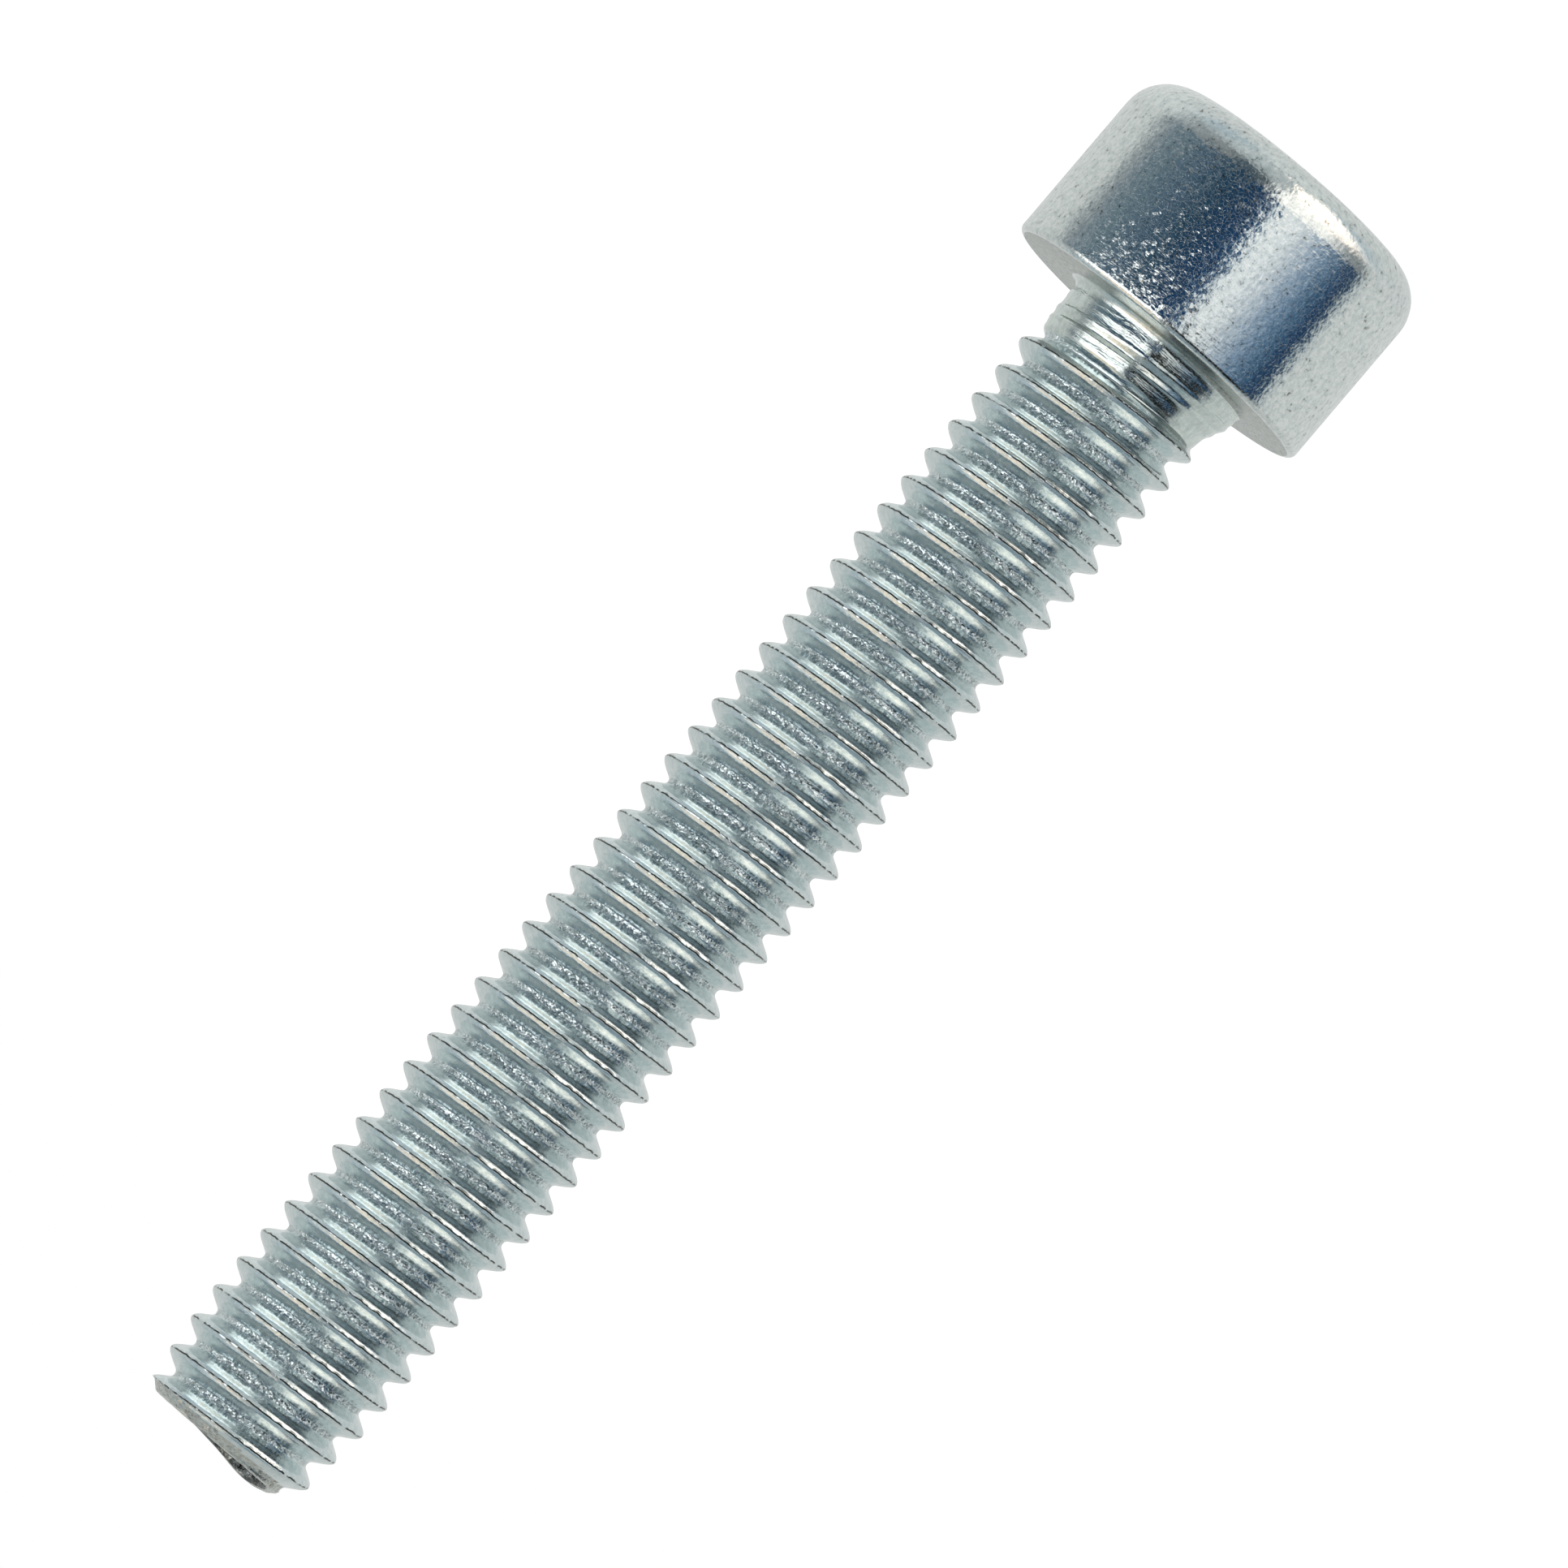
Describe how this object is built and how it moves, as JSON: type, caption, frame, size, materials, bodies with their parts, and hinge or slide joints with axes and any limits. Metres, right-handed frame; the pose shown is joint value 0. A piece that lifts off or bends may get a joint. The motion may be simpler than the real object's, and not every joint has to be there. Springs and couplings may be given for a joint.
{
  "type": "thread-forming screw",
  "caption": "Thread-forming cap screw: round cylinder head with a hexagon drive socket, short neck and a full-length three-lobed rolled thread.",
  "frame": {"origin": "centre of the bearing face under the head", "axes": "+Z along the shank from the bearing face to the tip, so the head is below the origin; +X through a corner of the hexagon socket"},
  "size_m": [0.0098, 0.0098, 0.0457],
  "materials": {
    "zinc_plated_steel": "bright zinc plate with a pale blue passivation, satin"
  },
  "bodies": {
    "root": {"thread_forming_screw": "zinc_plated_steel"}
  },
  "joints": []
}
